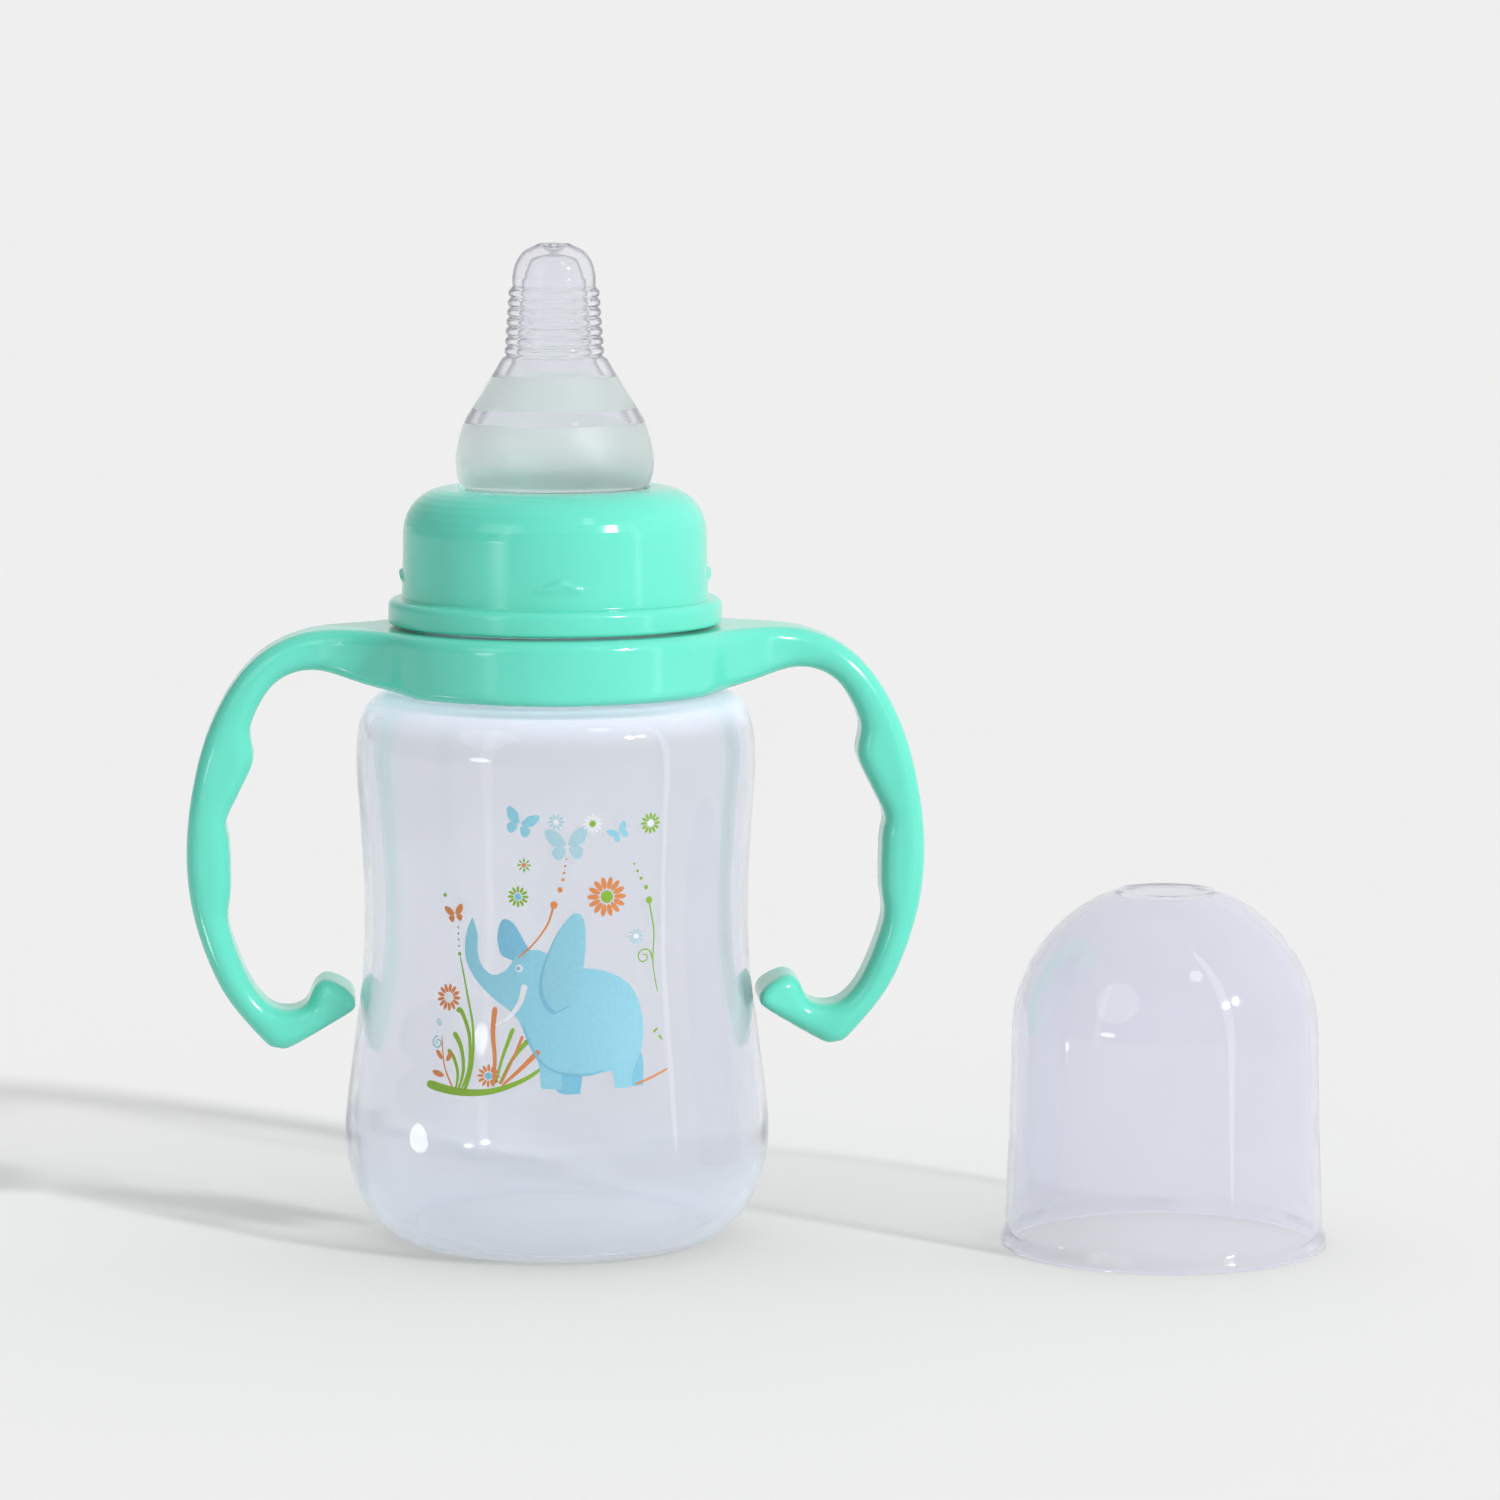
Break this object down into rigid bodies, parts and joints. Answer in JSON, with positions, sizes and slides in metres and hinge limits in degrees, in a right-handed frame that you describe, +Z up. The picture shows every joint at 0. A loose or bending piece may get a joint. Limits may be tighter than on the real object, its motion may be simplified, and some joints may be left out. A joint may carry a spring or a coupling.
{
  "type": "baby bottle",
  "caption": "Small waisted clear feeding bottle with a turning two-handle grip yoke, a screw collar, a ribbed silicone teat and a separate clear hood cap.",
  "frame": {"origin": "centre of the bottle's flat underside, on the surface that it stands on", "axes": "+Z up along the bottle's axis, +X through the handle on the cap's side, the printed front faces -Y"},
  "size_m": [0.1597, 0.0642, 0.1404],
  "materials": {
    "clear_polypropylene": "gloss",
    "mint_plastic": "gloss",
    "silicone": "satin",
    "print_ink": "satin"
  },
  "bodies": {
    "bottle": {"bottle_body": "clear_polypropylene"},
    "handle": {"handle_yoke": "mint_plastic"},
    "teat": {"teat": "silicone"},
    "collar": {"screw_collar": "mint_plastic"},
    "cap": {"hood_cap": "clear_polypropylene"}
  },
  "joints": [
    {"name": "handle_turn", "type": "hinge", "parent": "bottle", "child": "handle", "pos_m": [0, 0, 0.0827], "axis": [0, 0, 1], "continuous": true},
    {"name": "teat_lift", "type": "slide", "parent": "bottle", "child": "teat", "axis": [0, 0, 1], "range_m": [0, 0.0069]},
    {"name": "collar_turn", "type": "hinge", "parent": "teat", "child": "collar", "pos_m": [0, 0, 0.0969], "axis": [0, 0, 1], "range_deg": [0, 540]},
    {"name": "cap_lift", "type": "slide", "parent": "bottle", "child": "cap", "axis": [0, 0, 1], "range_m": [0, 0.0909]}
  ],
  "couplings": [
    {"joint": "teat_lift", "follows": "collar_turn", "m_per_rad": 0.000732}
  ]
}
